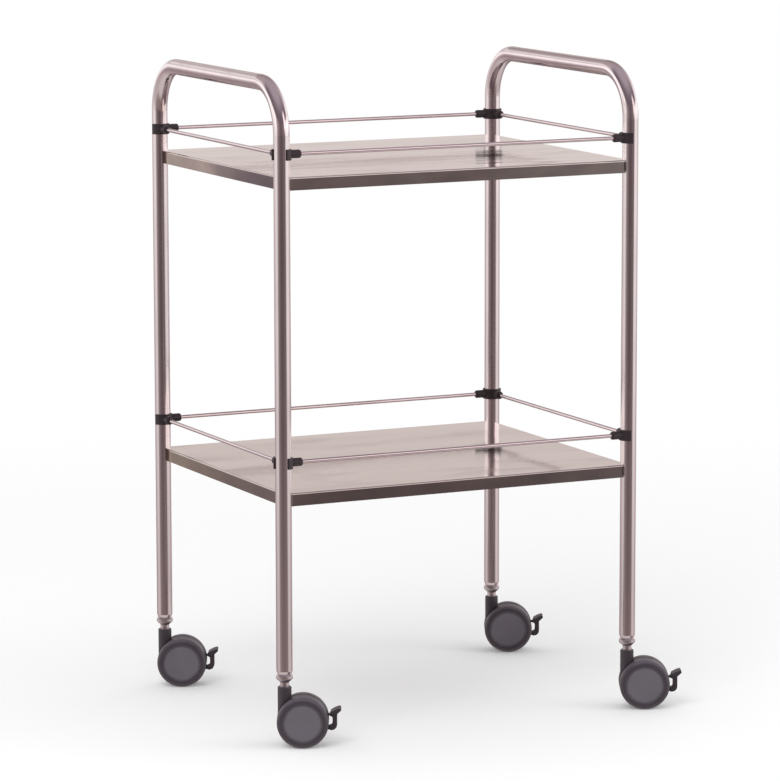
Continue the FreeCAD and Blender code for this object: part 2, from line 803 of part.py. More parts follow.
def wheel(which, end, side):
    """A moulded wheel: a cup open towards the hood, with hub, ribs and a seat for its cap."""
    body = castor_body(f"wheel_{which}", end, side)
    sign = WHEELS[which]
    inside, outside, seat = wheel_inside * sign, wheel_outside * sign, cap_seat * sign
    wall = seat - d.wheel_wall * sign
    dished = outside - d.wheel_dish * sign
    hub_start = (half_housing + d.hub_play) * sign
    seat_radius = d.cap_seat_diameter / 2
    profile = new_sketch(body, "YZ", "Profile", up=wheel_radius, out=d.castor_trail)
    draw_outline(
        profile,
        [
            (hub_start, d.axle_diameter / 2 + d.axle_fit),
            (seat, d.axle_diameter / 2 + d.axle_fit),
            (seat, seat_radius),
            (dished, seat_radius),
            (outside, wheel_radius - d.wheel_shoulder),
            (outside, wheel_radius, d.wheel_outer_round),
            (inside, wheel_radius, d.wheel_inner_round),
            (inside, drum_radius),
            (wall, drum_radius),
            (wall, d.hub_diameter / 2),
            (hub_start, d.hub_diameter / 2),
        ],
    )
    turned(body, "Turned", profile, "H_Axis")
    rib = new_sketch(
        body, "XZ", "RibPlan", right=d.castor_trail, up=wheel_radius, out=wall * -1
    )
    half = d.rib_thickness / 2
    inner, outer = d.hub_diameter / 2 - half, drum_radius + half
    draw_rectangle(rib, -half, half, inner, outer)
    ribs = pad(body, "Rib", rib, d.rib_depth, reverse=sign < 0)
    pattern = body.newObject("PartDesign::PolarPattern", "Ribs")
    pattern.Originals = [ribs]
    pattern.Axis = (rib, ["N_Axis"])
    pattern.Angle = 360
    bind(pattern, "Occurrences", d.rib_count)
    body.Tip = pattern


def hub_cap(which, end, side):
    """A thin dished disc pressed into the wheel's seat."""
    body = castor_body(f"cap_{which}", end, side)
    sign = WHEELS[which]
    radius = d.cap_seat_diameter / 2 - d.cap_fit
    flat = d.cap_flat_diameter / 2
    edge = wheel_outside * sign - d.wheel_dish * sign
    middle = edge - d.cap_sink * sign
    seat = cap_seat * sign
    rim = radius - d.cap_rim
    thickness = d.cap_thickness * sign
    profile = new_sketch(body, "YZ", "Profile", up=wheel_radius, out=d.castor_trail)
    draw_outline(
        profile,
        [
            (middle, 0),
            (middle, flat, d.cap_blend),
            (edge, radius),
            (seat, radius),
            (seat, rim),
            (edge - thickness, rim),
            (middle - thickness, flat),
            (middle - thickness, 0),
        ],
    )
    turned(body, "Turned", profile, "H_Axis")


def pad_outline():
    """The curved back of the pad, from its tip round the toe to the heel."""
    return [
        (d.pad_tip_out, d.pad_tip_up, d.pad_edge_round),
        (d.pad_toe_out, d.pad_toe_up, d.pad_edge_round),
        (d.pad_crest_out, d.pad_crest_up, d.pad_crest_round),
        (d.pad_heel_out, d.pad_heel_up),
    ]


def pedal_outline():
    """The pedal seen from the side: arm, upright bar, sloping pad and the nose on the hood."""
    bar_outer = d.pedal_bar_inner + d.pedal_bar_thickness
    arm_top = d.pedal_arm_thickness - d.pedal_arm_bottom
    return [
        (d.pedal_start, -d.pedal_arm_bottom),
        (bar_outer, -d.pedal_arm_bottom, d.pedal_round),
        (bar_outer, d.pedal_bar_top, d.pedal_neck_round),
        *pad_outline(),
        (d.pedal_start, d.nose_up + d.nose_thickness),
        (d.pedal_start, d.nose_up),
        (d.pedal_bar_inner, d.nose_up, d.pedal_inner_round),
        (d.pedal_bar_inner, arm_top, d.pedal_inner_round),
        (d.pedal_start, arm_top),
    ]


def brake_pedal(end, side):
    """Eye on the pin, arm out between the wheels, bar, pad, nose and the shoe bar."""
    body = castor_body("brake_pedal", end, side)
    at_axle = {"right": d.castor_trail, "up": wheel_radius}
    arm_top = d.pedal_arm_thickness - d.pedal_arm_bottom
    eye = new_sketch(body, "XZ", "EyeCircle", **at_axle)
    draw_circle(eye, d.brake_pivot_out, -d.brake_pivot_down, d.brake_eye_diameter)
    pad(body, "Eye", eye, d.brake_arm_width, both_ways=True)
    arm = new_sketch(body, "XZ", "ArmPlan", **at_axle)
    draw_rectangle(
        arm,
        d.brake_pivot_out,
        d.pedal_start + d.pedal_overlap,
        -d.pedal_arm_bottom,
        arm_top,
    )
    pad(body, "Arm", arm, d.brake_arm_width, both_ways=True)
    finger = new_sketch(body, "XZ", "FingerPlan", **at_axle)
    draw_outline(
        finger,
        [
            (d.brake_pivot_out - d.finger_root / 2, -d.brake_pivot_down),
            (d.brake_pivot_out + d.finger_root / 2, -d.brake_pivot_down),
            (d.shoe_out + d.finger_tip / 2, d.shoe_up),
            (d.shoe_out - d.finger_tip / 2, d.shoe_up),
        ],
    )
    pad(body, "Finger", finger, d.brake_arm_width, both_ways=True)
    shoe = new_sketch(body, "XZ", "ShoeCircle", **at_axle)
    draw_circle(shoe, d.shoe_out, d.shoe_up, d.shoe_diameter)
    pad(body, "ShoeBar", shoe, d.shoe_length, both_ways=True)

    side_view = new_sketch(body, "XZ", "PedalSide", **at_axle)
    draw_outline(side_view, pedal_outline())
    pad(body, "Bar", side_view, d.pedal_bar_width, both_ways=True)
    tread = new_sketch(body, "XZ", "PadSide", **at_axle)
    bar_outer = d.pedal_bar_inner + d.pedal_bar_thickness
    draw_outline(
        tread,
        [
            (bar_outer, d.pedal_bar_top),
            *pad_outline(),
            (d.pedal_start + d.pad_inset, d.nose_up + d.nose_thickness),
        ],
    )
    pad(body, "Pad", tread, d.pedal_pad_width, both_ways=True)
    nose = new_sketch(body, "XZ", "NosePlan", **at_axle)
    rest = hood_radius + d.nose_gap
    nose_top = d.nose_up + d.nose_thickness
    draw_outline(
        nose,
        [
            (root(rest * rest - d.nose_up * d.nose_up), d.nose_up),
            (d.pedal_start + d.pedal_overlap, d.nose_up),
            (d.pedal_start + d.pedal_overlap, nose_top),
            (root(rest * rest - nose_top * nose_top), nose_top),
        ],
    )
    pad(body, "Nose", nose, d.brake_arm_width, both_ways=True)
    pin_hole = new_sketch(body, "XZ", "PinBore", **at_axle)
    pin_diameter = d.brake_pin_diameter + d.brake_pin_fit * 2
    draw_circle(pin_hole, d.brake_pivot_out, -d.brake_pivot_down, pin_diameter)
    pocket(body, "PinHole", pin_hole, d.brake_lug_diameter, both_ways=True)


def brake_pin(end, side):
    """The pin that the pedal turns on, flush with both cheeks of the hood plate."""
    body = castor_body("brake_pin", end, side)
    section = new_sketch(body, "XZ", "Section", right=d.castor_trail, up=wheel_radius)
    draw_circle(section, d.brake_pivot_out, -d.brake_pivot_down, d.brake_pin_diameter)
    pad(body, "Pin", section, d.housing_width, both_ways=True)


def build():
    """Every piece of the trolley."""
    for side in SIDES:
        side_frame(side)
    for level in LEVELS:
        tray(level)
        stiffener(level)
        for place in (*ENDS, *SIDES):
            rail(level, place)
        for end in ENDS:
            for side in SIDES:
                corner_clip(level, end, side)
    weld_beads()
    washers = []
    for end in ENDS:
        for side in SIDES:
            stem(end, side)
            washers.append(washer(end, side))
            housing(end, side)
            axle(end, side)
            for which in WHEELS:
                wheel(which, end, side)
                hub_cap(which, end, side)
            brake_pedal(end, side)
            brake_pin(end, side)
    group = doc.addObject("Part::Compound", "castor_washers")
    group.Label = "castor_washers"
    group.Links = washers
    nodes.append(group)
    doc.recompute()


def check():
    """Stop if an object failed, a cut missed its solid or a sub-part isn't sound."""
    for thing in doc.Objects:
        if "Invalid" in thing.State or "Error" in thing.State:
            raise RuntimeError(f"{thing.Name} ({thing.Label}) failed: {thing.State}")
        if thing.TypeId == "PartDesign::Pocket":
            removed = thing.BaseFeature.Shape.Volume - thing.Shape.Volume
            if removed < LEAST_CUT:
                raise RuntimeError(f"{thing.Name} cuts nothing")
    for node in nodes:
        if node.Shape.isNull() or not node.Shape.isValid() or not node.Shape.Solids:
            raise RuntimeError(f"{node.Label} has no sound solid")


def write():
    """One STEP file for each sub-part, named after it."""
    os.makedirs(FOLDER, exist_ok=True)
    for node in nodes:
        node.Shape.exportStep(os.path.join(FOLDER, f"{node.Label}.step"))
    print(f"{len(nodes)} sub-parts written")


build()
check()
write()
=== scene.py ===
import json
import math

import bmesh
import bpy
from bpy.props import FloatProperty, FloatVectorProperty, IntProperty, PointerProperty
from mathutils import Matrix, Vector


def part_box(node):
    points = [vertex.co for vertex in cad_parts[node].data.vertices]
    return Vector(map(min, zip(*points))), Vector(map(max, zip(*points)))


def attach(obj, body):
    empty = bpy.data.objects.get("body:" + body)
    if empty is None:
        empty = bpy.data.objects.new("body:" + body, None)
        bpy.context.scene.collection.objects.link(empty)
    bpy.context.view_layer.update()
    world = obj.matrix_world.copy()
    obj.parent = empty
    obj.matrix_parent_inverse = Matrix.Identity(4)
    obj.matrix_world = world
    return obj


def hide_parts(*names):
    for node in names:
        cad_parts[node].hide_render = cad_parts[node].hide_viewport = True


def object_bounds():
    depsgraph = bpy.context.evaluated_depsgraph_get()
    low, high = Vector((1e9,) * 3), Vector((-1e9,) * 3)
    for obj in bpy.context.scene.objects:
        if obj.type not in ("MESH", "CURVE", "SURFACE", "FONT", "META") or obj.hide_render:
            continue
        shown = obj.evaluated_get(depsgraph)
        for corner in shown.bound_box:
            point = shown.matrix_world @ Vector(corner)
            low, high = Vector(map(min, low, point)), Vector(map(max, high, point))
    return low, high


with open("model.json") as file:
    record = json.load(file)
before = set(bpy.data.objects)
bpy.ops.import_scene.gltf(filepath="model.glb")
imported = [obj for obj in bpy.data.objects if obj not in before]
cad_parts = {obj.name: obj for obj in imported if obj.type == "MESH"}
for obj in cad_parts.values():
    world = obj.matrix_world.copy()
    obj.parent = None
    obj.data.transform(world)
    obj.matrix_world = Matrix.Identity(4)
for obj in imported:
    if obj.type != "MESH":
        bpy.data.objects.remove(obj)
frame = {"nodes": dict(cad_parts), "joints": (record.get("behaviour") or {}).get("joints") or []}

bl_info = {
    "name": "Ward trolley looks",
    "version": (1, 0, 0),
    "blender": (4, 5, 0),
    "location": "3D View > Sidebar > Trolley",
    "description": "Finishes, weld detail and a pale studio for a stainless steel ward trolley",
    "category": "Object",
}

# The trolley stands on the floor at z = 0. +X runs along the trays, +Y away from the front.
cad_low, cad_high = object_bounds()

SIDES = {"left": -1, "right": 1}
ENDS = {"front": -1, "back": 1}
LEVELS = ("upper", "lower")
WHEELS = ("near", "far")
CASTORS = [f"{end}_{side}" for end in ENDS for side in SIDES]
JOINTS = {joint["name"]: joint for joint in frame["joints"]}

MM = 0.001


def middle(node):
    low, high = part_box(node)
    return (low + high) / 2


def outer_radius(node):
    """The radius of a round node that stands upright."""
    low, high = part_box(node)
    return (high.z - low.z) / 2


class SteelLook(bpy.types.PropertyGroup):
    """Colours and polish of the metal pieces."""

    tube_colour: FloatVectorProperty(
        name="Tube colour",
        description="Colour of the bent tube and the rods",
        subtype="COLOR",
        min=0.0,
        max=1.0,
        default=(0.74, 0.652, 0.648),
    )
    tube_roughness: FloatProperty(
        name="Tube roughness",
        description="How far the polish of the tube blurs what it reflects",
        min=0.0,
        max=1.0,
        default=0.10,
    )
    sheet_colour: FloatVectorProperty(
        name="Sheet colour",
        description="Colour of the folded trays",
        subtype="COLOR",
        min=0.0,
        max=1.0,
        default=(0.70, 0.64, 0.60),
    )
    sheet_roughness: FloatProperty(
        name="Sheet roughness",
        description="How far the satin finish of the trays blurs what it reflects",
        min=0.0,
        max=1.0,
        default=0.06,
    )
    turned_colour: FloatVectorProperty(
        name="Turned colour",
        description="Colour of the castor stems, washers and axles",
        subtype="COLOR",
        min=0.0,
        max=1.0,
        default=(0.62, 0.55, 0.55),
    )
    turned_roughness: FloatProperty(
        name="Turned roughness",
        description="How dull the turned pieces are at their brightest",
        min=0.0,
        max=1.0,
        default=0.32,
    )
    weld_colour: FloatVectorProperty(
        name="Weld colour",
        description="Colour of the dressed weld beads",
        subtype="COLOR",
        min=0.0,
        max=1.0,
        default=(0.20, 0.175, 0.17),
    )
    weld_roughness: FloatProperty(
        name="Weld roughness",
        description="How dull the weld beads are at their brightest",
        min=0.0,
        max=1.0,
        default=0.30,
    )


class PlasticLook(bpy.types.PropertyGroup):
    """Colours and gloss of the moulded pieces."""

    clip_colour: FloatVectorProperty(
        name="Clip colour",
        description="Colour of the corner clips",
        subtype="COLOR",
        min=0.0,
        max=1.0,
        default=(0.026, 0.016, 0.019),
    )
    clip_roughness: FloatProperty(
        name="Clip roughness",
        description="How dull the corner clips are where they are smoothest",
        min=0.0,
        max=1.0,
        default=0.38,
    )
    housing_colour: FloatVectorProperty(
        name="Housing colour",
        description="Colour of the castor housings",
        subtype="COLOR",
        min=0.0,
        max=1.0,
        default=(0.040, 0.030, 0.038),
    )
    housing_roughness: FloatProperty(
        name="Housing roughness",
        description="How dull the castor housings are where they are smoothest",
        min=0.0,
        max=1.0,
        default=0.36,
    )
    pedal_colour: FloatVectorProperty(
        name="Pedal colour",
        description="Colour of the brake pedals",
        subtype="COLOR",
        min=0.0,
        max=1.0,
        default=(0.038, 0.028, 0.038),
    )
    pedal_roughness: FloatProperty(
        name="Pedal roughness",
        description="How dull the brake pedals are where they are smoothest",
        min=0.0,
        max=1.0,
        default=0.38,
    )
    wheel_colour: FloatVectorProperty(
        name="Wheel colour",
        description="Colour of the castor wheels",
        subtype="COLOR",
        min=0.0,
        max=1.0,
        default=(0.050, 0.038, 0.048),
    )
    wheel_roughness: FloatProperty(
        name="Wheel roughness",
        description="How dull the castor wheels are where they are smoothest",
        min=0.0,
        max=1.0,
        default=0.34,
    )
    cap_colour: FloatVectorProperty(
        name="Cap colour",
        description="Colour of the hub caps",
        subtype="COLOR",
        min=0.0,
        max=1.0,
        default=(0.126, 0.110, 0.132),
    )
    cap_roughness: FloatProperty(
        name="Cap roughness",
        description="How dull the hub caps are where they are smoothest",
        min=0.0,
        max=1.0,
        default=0.40,
    )


class WeldShape(bpy.types.PropertyGroup):
    """Sizes of the beads between trays and legs."""

    radius: FloatProperty(
        name="Bead radius",
        description="Radius of one weld bead",
        subtype="DISTANCE",
        unit="LENGTH",
        min=0.0005,
        default=2.2 * MM,
    )
    margin: FloatProperty(
        name="Bead margin",
        description="From the tray's edge to the end of the bead",
        subtype="DISTANCE",
        unit="LENGTH",
        min=0.0,
        default=2.5 * MM,
    )
    ripples: IntProperty(
        name="Ripples",
        description="Number of ripples along one bead",
        min=1,
        default=9,
    )


class StudioLook(bpy.types.PropertyGroup):
    """The camera of the photograph's view, the light and the floor."""

    heading: FloatProperty(
        name="Camera heading",
        description="Turn of the view from straight along the trolley's depth",
        subtype="ANGLE",
        default=math.radians(25.716),
    )
    pitch: FloatProperty(
        name="Camera pitch",
        description="Angle at which the camera looks down",
        subtype="ANGLE",
        default=math.radians(8.846),
    )
    roll: FloatProperty(
        name="Camera roll",
        description="Tilt of the picture",
        subtype="ANGLE",
        default=math.radians(0.107),
    )
    place: FloatVectorProperty(
        name="Camera place",
        description="Where the camera stands",
        subtype="XYZ",
        unit="LENGTH",
        default=(-2.9330, -6.0800, 1.5502),
    )
    lens: FloatProperty(
        name="Lens",
        description="Focal length on a sensor 36 mm wide, in millimetres",
        min=1.0,
        default=196.80,
    )
    plain_light: FloatProperty(
        name="Plain light",
        description="Strength of the even light from all sides",
        min=0.0,
        default=0.80,
    )
    key_power: FloatProperty(
        name="Key lamp",
        description="Power of the large soft lamp",
        subtype="POWER",
        min=0.0,
        default=60.0,
    )
    floor_colour: FloatVectorProperty(
        name="Floor colour",
        description="Colour of the floor",
        subtype="COLOR",
        min=0.0,
        max=1.0,
        default=(0.93, 0.93, 0.93),
    )
    floor_glow: FloatProperty(
        name="Floor glow",
        description="Light that the floor adds, so that it stays near white",
        min=0.0,
        default=0.13,
    )


class TrolleyLooks(bpy.types.PropertyGroup):
    """Every setting of the trolley's looks."""

    steel: PointerProperty(type=SteelLook)
    plastic: PointerProperty(type=PlasticLook)
    weld: PointerProperty(type=WeldShape)
    studio: PointerProperty(type=StudioLook)


class Wire:
    """A socket of a node tree. Sums written with it add their Math nodes to that tree."""

    def __init__(self, nodes, socket):
        self.nodes = nodes
        self.socket = socket

    def maths(self, operation, first, second):
        return self.nodes.add("ShaderNodeMath", {"operation": operation}, {0: first, 1: second})

    def __add__(self, other):
        return self.maths("ADD", self, other)

    def __radd__(self, other):
        return self.maths("ADD", other, self)

    def __sub__(self, other):
        return self.maths("SUBTRACT", self, other)

    def __rsub__(self, other):
        return self.maths("SUBTRACT", other, self)

    def __mul__(self, other):
        return self.maths("MULTIPLY", self, other)

    def __rmul__(self, other):
        return self.maths("MULTIPLY", other, self)

    def __truediv__(self, other):
        return self.maths("DIVIDE", self, other)

    def __rtruediv__(self, other):
        return self.maths("DIVIDE", other, self)


class Nodes:
    """A node tree that is being built."""

    def __init__(self, tree):
        self.tree = tree
        tree.nodes.clear()

    def add(self, kind, settings=None, inputs=None, output=0):
        """Any node: its settings first, then the values and links of its sockets."""
        node = self.tree.nodes.new(kind)
        for name, value in (settings or {}).items():
            if name == "stops":
                self.set_stops(node.color_ramp, value)
            else:
                setattr(node, name, value)
        for name, value in (inputs or {}).items():
            if isinstance(value, Wire):
                self.tree.links.new(value.socket, node.inputs[name])
            else:
                node.inputs[name].default_value = value
        return Wire(self, node.outputs[output]) if node.outputs else None

    def set_stops(self, ramp, stops):
        while len(ramp.elements) < len(stops):
            ramp.elements.new(1.0)
        for element, (place, colour) in zip(ramp.elements, stops):
            element.position = place
            element.color = (*colour, 1.0)

    def parts(self, vector):
        first = self.add("ShaderNodeSeparateXYZ", {}, {0: vector})
        return [Wire(self, socket) for socket in first.socket.node.outputs]

    def vector(self, operation, first, second=None, output=0):
        inputs = {0: first} if second is None else {0: first, 1: second}
        return self.add("ShaderNodeVectorMath", {"operation": operation}, inputs, output)

    def ramp(self, value, stops):
        return self.add("ShaderNodeValToRGB", {"stops": stops}, {0: value})

    def step(self, value, low, high):
        """Nought below low, one above high and a smooth rise between them."""
        return self.add(
            "ShaderNodeMapRange",
            {"interpolation_type": "SMOOTHSTEP"},
            {"Value": value, "From Min": low, "From Max": high},
        )

    def past(self, angle, limits):
        """The same step for an angle, between two limits in degrees."""
        return self.step(angle, *(math.radians(limit) for limit in limits))

    def blend(self, factor, first, second):
        return self.add(
            "ShaderNodeMix", {"data_type": "RGBA"}, {0: factor, 6: first, 7: second}, 2
        )

    def bump(self, height, depth, strength=1.0, below=None):
        inputs = {"Height": height, "Distance": depth, "Strength": strength}
        if below is not None:
            inputs["Normal"] = below
        return self.add("ShaderNodeBump", {}, inputs)


class Finish(Nodes):
    """A material with one main surface."""

    def __init__(self, name):
        self.material = bpy.data.materials.new(name)
        self.material.use_nodes = True
        super().__init__(self.material.node_tree)
        self.place = self.add("ShaderNodeTexCoord", {}, {}, "Object")

    def facing(self):
        """The three parts of the way that the surface faces."""
        return self.parts(self.add("ShaderNodeTexCoord", {}, {}, "Normal"))

    def noise(self, scale, detail=2.0):
        """Noise over the piece, in waves per metre: one number, or one for each axis."""
        place = self.place
        if isinstance(scale, tuple):
            place, scale = self.vector("MULTIPLY", place, scale), 1.0
        return self.add(
            "ShaderNodeTexNoise", {}, {"Vector": place, "Scale": scale, "Detail": detail}
        )

    def surface(self, **sockets):
        names = {key.replace("_", " "): value for key, value in sockets.items()}
        shader = self.add("ShaderNodeBsdfPrincipled", {}, names)
        self.add("ShaderNodeOutputMaterial", {}, {"Surface": shader})
        return self.material


def rgba(colour, light=1.0):
    return (*(channel * light for channel in colour), 1.0)


# Painted shade and reflection make the folded edges darker than the tops, most of all the lower
# tray's and towards the front.
# For each tray: the shade of the long edges, then that of the short ones from front to back
EDGE_SHADE = {
    "upper": (
        (0.74, 0.74, 0.74),
        (
            (0.0, (0.20, 0.175, 0.185)),
            (0.21, (0.24, 0.195, 0.23)),
            (0.36, (0.305, 0.255, 0.28)),
            (0.50, (0.475, 0.42, 0.43)),
            (0.64, (0.74, 0.67, 0.64)),
            (1.0, (0.64, 0.595, 0.56)),
        ),
    ),
    "lower": (
        (0.50, 0.48, 0.50),
        (
            (0.0, (0.33, 0.30, 0.29)),
            (0.50, (0.40, 0.37, 0.335)),
            (1.0, (0.67, 0.645, 0.53)),
        ),
    ),
}


def drawn_steel(name, colour, roughness, grain_scale):
    """Polished tube or rod: fine lines along the piece, wiped smears and soft patches."""
    finish = Finish(name)
    grain = finish.noise(grain_scale, 3.0)
    smear = finish.noise((30.0, 30.0, 9.0), 4.0)
    patch = finish.noise(5.0)
    wiped = finish.step(smear, 0.45, 0.75)
    tone = finish.blend(wiped, rgba(colour), rgba(colour, 0.93))
    tone = finish.blend(finish.step(patch, 0.4, 0.8) * 0.5, tone, rgba(colour, 0.88))
    rough = roughness + wiped * 0.06 + grain * 0.05
    height = finish.bump(grain, 0.02 * MM, 0.35)
    return finish.surface(Base_Color=tone, Metallic=1.0, Roughness=rough, Normal=height)


def tube_steel(look):
    return drawn_steel("tube_steel", look.tube_colour, look.tube_roughness, (900.0, 900.0, 14.0))


def rod_steel(name, look, along_x):
    scale = (14.0, 900.0, 900.0) if along_x else (900.0, 14.0, 900.0)
    return drawn_steel(name, look.tube_colour, look.tube_roughness, scale)


# The darkest and lightest patches of the folded edges
EDGE_PATCHES = ((0.70, 0.70, 0.74), (1.30, 1.32, 1.22))
# How far the pressing has rippled each tray, and how far either waves, in millimetres
RIPPLE = {"upper": 0.6, "lower": 0.15}
WAVINESS = 1.2


def sheet_steel(level, look):
    """Satin sheet: grain along the tray, a slight waviness, smears of cleaning, and edges
    darkened by painted shade and reflection.
    """
    finish = Finish(f"sheet_steel_{level}")
    long_shade, short_shade = EDGE_SHADE[level]
    low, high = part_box(f"{level}_shelf")
    grain = finish.noise((10.0, 700.0, 700.0), 3.0)
    wave = finish.noise((3.0, 8.0, 3.0), 1.0)
    ripple = finish.noise((1.6, 24.0, 1.6), 1.0)
    smear = finish.noise((7.0, 16.0, 7.0), 5.0)
    mottle = finish.noise((16.0, 16.0, 34.0), 3.0)
    wiped = finish.step(smear, 0.48, 0.72)
    tone = finish.blend(wiped * 0.6, rgba(look.sheet_colour), rgba(look.sheet_colour, 0.90))
    tone = finish.blend(grain * 0.25, tone, rgba(look.sheet_colour, 0.85))
    across, _, up = finish.facing()
    depth = (finish.parts(finish.place)[1] - low.y) / (high.y - low.y)
    # The edges' painted shade and reflection, from EDGE_SHADE, mottled at random and kept off
    # the tops
    short_edge = finish.step(across * across, 0.3, 0.7)
    edge = finish.blend(short_edge, rgba(long_shade), finish.ramp(depth, short_shade))
    patches = finish.blend(mottle, *(rgba(patch) for patch in EDGE_PATCHES))
    edge = finish.vector("MULTIPLY", edge, patches)
    shade = finish.blend(finish.step(up, 0.1, 0.6), edge, rgba((1.0, 1.0, 1.0)))
    tone = finish.vector("MULTIPLY", tone, shade)
    rough = look.sheet_roughness + wiped * 0.07 + grain * 0.05
    waves = finish.bump(wave * WAVINESS + ripple * RIPPLE[level], 1.0 * MM)
    height = finish.bump(grain, 0.02 * MM, 0.4, waves)
    return finish.surface(Base_Color=tone, Metallic=1.0, Roughness=rough, Normal=height)


def turned_steel(look):
    """Bright turned steel: fine rings from the lathe and a little dullness."""
    finish = Finish("turned_steel")
    rings = finish.noise((3.0, 3.0, 2600.0))
    dull = finish.noise(120.0, 3.0)
    tone = finish.blend(dull * 0.5, rgba(look.turned_colour), rgba(look.turned_colour, 0.84))
    rough = look.turned_roughness + dull * 0.10 + rings * 0.05
    height = finish.bump(rings, 0.03 * MM, 0.5)
    return finish.surface(Base_Color=tone, Metallic=1.0, Roughness=rough, Normal=height)


# How far heat turns the weld's red, green and blue towards straw
STRAW_TINT = (1.0, 0.84, 0.60)


def weld_metal(look):
    """Dressed weld: duller than the sheet, with a faint straw tint from the heat."""
    finish = Finish("weld_metal")
    grit = finish.noise(900.0, 3.0)
    heat = finish.step(finish.noise(160.0), 0.45, 0.65)
    straw = [channel * tint for channel, tint in zip(look.weld_colour, STRAW_TINT)]
    tone = finish.blend(heat * 0.55, rgba(look.weld_colour), rgba(straw))
    rough = look.weld_roughness + grit * 0.18
    height = finish.bump(grit, 0.05 * MM, 0.6)
    return finish.surface(Base_Color=tone, Metallic=1.0, Roughness=rough, Normal=height)


# The lighter colour that clips, housings and pedals take where they face up, and how far each
# goes towards it
UPWARD_TONE_COLOUR = (0.15, 0.125, 0.155)
CLIP_UPWARD_TONE, HOUSING_UPWARD_TONE, PEDAL_UPWARD_TONE = 0.12, 0.90, 0.35


def moulded(name, colour, roughness, upward_tone):
    """Moulded plastic: a fine spark texture, uneven gloss and a lighter colour on what faces up.
    """
    finish = Finish(name)
    grain = finish.noise(1500.0)
    cloud = finish.noise(45.0, 3.0)
    upward = finish.step(finish.facing()[2], 0.35, 0.95)
    tone = finish.blend(cloud, rgba(colour, 0.90), rgba(colour, 1.14))
    # Lighter where the piece faces up, patchy with the cloud
    tone = finish.blend(upward * cloud * upward_tone, tone, rgba(UPWARD_TONE_COLOUR))
    rough = roughness + cloud * 0.10 + grain * 0.06
    height = finish.bump(grain, 0.04 * MM, 0.5)
    return finish.surface(Base_Color=tone, Roughness=rough, Normal=height)


def around_axle(finish, castor):
    """Distance from a castor's axle line, at any point of its wheels."""
    joint = JOINTS[f"spin_near_{castor}"]
    start, along = Vector(joint["pos_m"]), Vector(joint["axis"])
    away = finish.vector("SUBTRACT", finish.place, start)
    across = finish.vector("CROSS_PRODUCT", away, along)
    return finish.vector("LENGTH", across, output="Value")


# How far inside its outline a wheel's running face and its shoulder, whose top has painted
# light, start and are full
RUNNING_FACE = (1.2 * MM, 0.1 * MM)
SHOULDER = (7.0 * MM, 3.0 * MM)
# The colour of the painted light on the top of the wheel's shoulder
SHOULDER_PAINTED_LIGHT_COLOUR = (0.145, 0.122, 0.150)
SCUFF_COLOUR = (0.17, 0.16, 0.165)


def wheel_plastic(castor, look):
    """A dark moulded wheel, scuffed pale on its running face, with painted light on the top of
    its shoulder.
    """
    finish = Finish(f"wheel_plastic_{castor}")
    colour = look.wheel_colour
    radius = outer_radius(f"castor_{castor}_wheel_near")
    distance = around_axle(finish, castor)
    grain = finish.noise(1300.0)
    cloud = finish.noise(60.0, 3.0)
    scuffs = finish.noise(380.0, 4.0)
    running = finish.step(distance, *(radius - inside for inside in RUNNING_FACE))
    worn = running * finish.step(scuffs, 0.42, 0.66)
    tone = finish.blend(cloud, rgba(colour, 0.90), rgba(colour, 1.12))
    shoulder = finish.step(distance, *(radius - inside for inside in SHOULDER))
    # Painted light: the shoulder's upward faces are made lighter, as light from above would make
    # them
    painted_top_light = finish.step(finish.facing()[2], 0.15, 0.8) * shoulder * (0.35 + cloud * 0.4)
    tone = finish.blend(painted_top_light, tone, rgba(SHOULDER_PAINTED_LIGHT_COLOUR))
    tone = finish.blend(worn * 0.45, tone, rgba(SCUFF_COLOUR))
    rough = look.wheel_roughness + cloud * 0.08 + worn * 0.25
    height = finish.bump(grain + worn, 0.04 * MM, 0.5)
    return finish.surface(Base_Color=tone, Roughness=rough, Normal=height)


# Where a cap's dark slope starts and is full, as shares of its radius, how far apart the rings
# of its mould are, and the height of its dish in metres at one metre out
CAP_SLOPE = (0.82, 0.97)
CAP_RING = 0.7 * MM
CAP_DISH = 8.0


def cap_plastic(castor, look):
    """A satin cap with the faint rings of its mould, slightly dished, dark where it slopes."""
    finish = Finish(f"cap_plastic_{castor}")
    colour = look.cap_colour
    distance = around_axle(finish, castor)
    radius = outer_radius(f"castor_{castor}_cap_near")
    slope = finish.step(distance, *(radius * share for share in CAP_SLOPE))
    rings = finish.add(
        "ShaderNodeMath", {"operation": "SINE"}, {0: distance * (2 * math.pi / CAP_RING)}
    )
    grain = finish.noise(1300.0)
    cloud = finish.noise(38.0, 3.0)
    tone = finish.blend(cloud, rgba(colour, 0.93), rgba(colour, 1.08))
    tone = finish.blend(slope, tone, rgba(colour, 0.50))
    rough = look.cap_roughness + cloud * 0.08 + grain * 0.05
    dish = finish.bump(distance * distance * CAP_DISH, 1.0)
    height = finish.bump(rings * 0.2 + grain, 0.03 * MM, 0.5, dish)
    return finish.surface(Base_Color=tone, Roughness=rough, Normal=height)


def dress(node, material):
    """Give a CAD node its finish."""
    mesh = frame["nodes"][node].data
    mesh.materials.clear()
    mesh.materials.append(material)


def new_piece(name, mesh, material, body):
    piece = bpy.data.objects.new(name, mesh)
    bpy.context.scene.collection.objects.link(piece)
    mesh.materials.append(material)
    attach(piece, body)
    return piece


# How finely a bead is divided, how deep its ripples are and how far one side of a ring sags, as
# shares of its radius, and how steeply its ends draw in, and to what
BEAD_SEGMENTS, RINGS_PER_RIPPLE = 20, 6
RIPPLE_DEPTH, RING_SAG = 0.14, 0.25
END_STEEPNESS, END_SIZE = 1.6, 0.2


